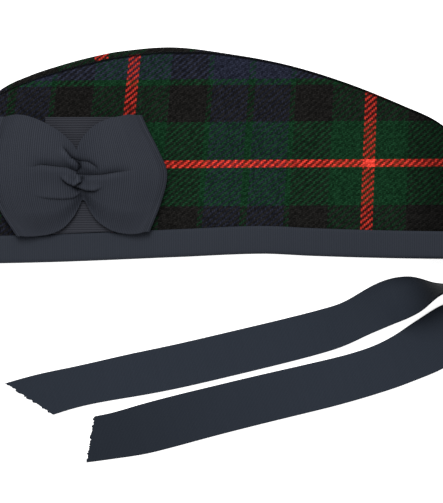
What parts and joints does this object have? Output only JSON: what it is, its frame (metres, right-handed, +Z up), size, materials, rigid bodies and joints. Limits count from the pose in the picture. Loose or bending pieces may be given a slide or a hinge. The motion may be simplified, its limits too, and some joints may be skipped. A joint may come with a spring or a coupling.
{
  "type": "folding wool cap with ribbon bow and tails",
  "caption": "Soft folding wool cap in a green, blue and black check with red lines, ribbon bound at the mouth, with a side bow and two tails, lying flat on its side.",
  "frame": {"origin": "on the resting face, the flat patch of the lower side panel, under the middle of the cap", "axes": "+X from the front of the cap to its back, +Y from the mouth to the ridge, +Z up from the surface on which the cap lies"},
  "size_m": [0.3057, 0.243, 0.0353],
  "materials": {
    "tartan_wool": "matt twill wool in a green, blue and black check with red lines",
    "band_ribbon": "ribbed grosgrain ribbon, charcoal navy, low sheen",
    "bow_ribbon": "ribbed grosgrain ribbon, charcoal navy, low sheen",
    "tail_ribbon": "finely ribbed grosgrain ribbon, dark navy, matt"
  },
  "bodies": {
    "root": {"side_left": "tartan_wool", "side_right": "tartan_wool", "crown": "tartan_wool", "binding": "band_ribbon", "bow_backing": "bow_ribbon", "bow": "bow_ribbon", "tail_upper": "tail_ribbon", "tail_lower": "tail_ribbon"}
  },
  "joints": []
}
